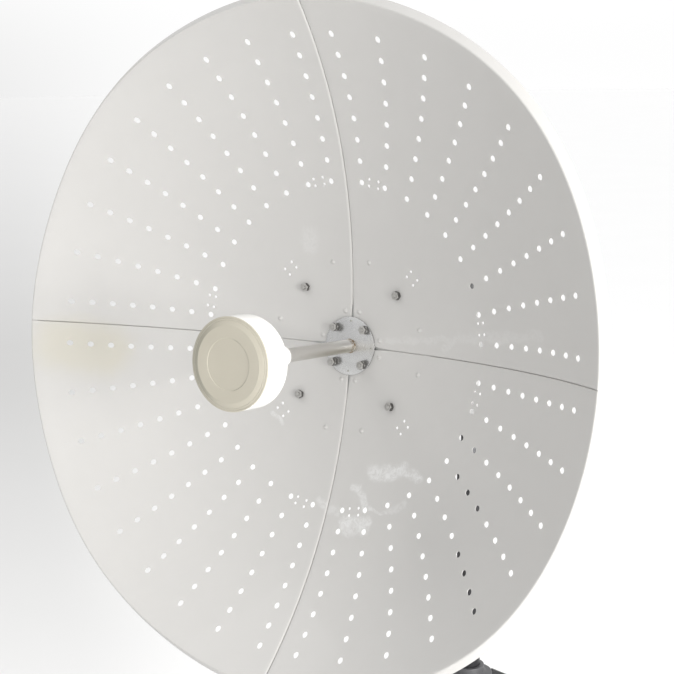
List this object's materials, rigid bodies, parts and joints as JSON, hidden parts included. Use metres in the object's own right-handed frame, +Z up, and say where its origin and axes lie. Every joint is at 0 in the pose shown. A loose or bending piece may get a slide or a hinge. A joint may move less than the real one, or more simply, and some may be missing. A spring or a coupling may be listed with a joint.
{
  "type": "mesh dish antenna",
  "caption": "Dish antenna of perforated sheet petals with a drum feed on a central tube, on a tilting bracket clamped to a short mast with a ribbed foot.",
  "frame": {"origin": "middle of the foot plate's underside, on the mast's axis", "axes": "+Z up the mast; -Y the way the dish faces; +X to the right, seen from in front of the dish"},
  "size_m": [1.2194, 1.0928, 1.6337],
  "materials": {
    "dish_paint": "light warm grey paint, satin",
    "zinc": "zinc plated",
    "feed_metal": "satin",
    "dark_steel": "near black paint, satin",
    "grey_paint": "mid grey paint, satin",
    "bolt_steel": "plated",
    "cream_plastic": "satin moulded",
    "white_plastic": "smooth moulded"
  },
  "bodies": {
    "root": {"petal_upper_right": "dish_paint", "petal_upper_left": "dish_paint", "petal_lower_left": "dish_paint", "petal_lower_right": "dish_paint", "hub_plate": "zinc", "back_plate": "zinc", "hub_bolt_upper_right": "bolt_steel", "hub_bolt_upper_left": "bolt_steel", "hub_bolt_lower_left": "bolt_steel", "hub_bolt_lower_right": "bolt_steel", "petal_bolt_upper_right": "bolt_steel", "petal_bolt_upper_left": "bolt_steel", "petal_bolt_lower_left": "bolt_steel", "petal_bolt_lower_right": "bolt_steel", "feed_tube": "feed_metal", "feed_boss": "white_plastic", "feed_drum": "white_plastic", "feed_cover": "cream_plastic", "feed_socket": "bolt_steel", "bracket_base": "zinc", "dish_cheek_left": "zinc", "dish_cheek_right": "zinc", "mast_spine": "zinc", "mast_cheek_left": "zinc", "mast_cheek_right": "zinc", "pivot_bolt": "bolt_steel", "lock_bolt_left": "bolt_steel", "lock_bolt_right": "bolt_steel", "clamp_jaw_upper": "zinc", "clamp_jaw_lower": "zinc", "clamp_strap_upper": "zinc", "clamp_strap_lower": "zinc", "mast_upper": "dark_steel", "mast_lower": "dark_steel", "mast_bush": "grey_paint", "mast_cap": "dark_steel", "foot_collar": "grey_paint", "rib_back_right": "dark_steel", "rib_back_left": "dark_steel", "rib_front_left": "dark_steel", "rib_front_right": "dark_steel", "foot_plate": "dark_steel"}
  },
  "joints": []
}
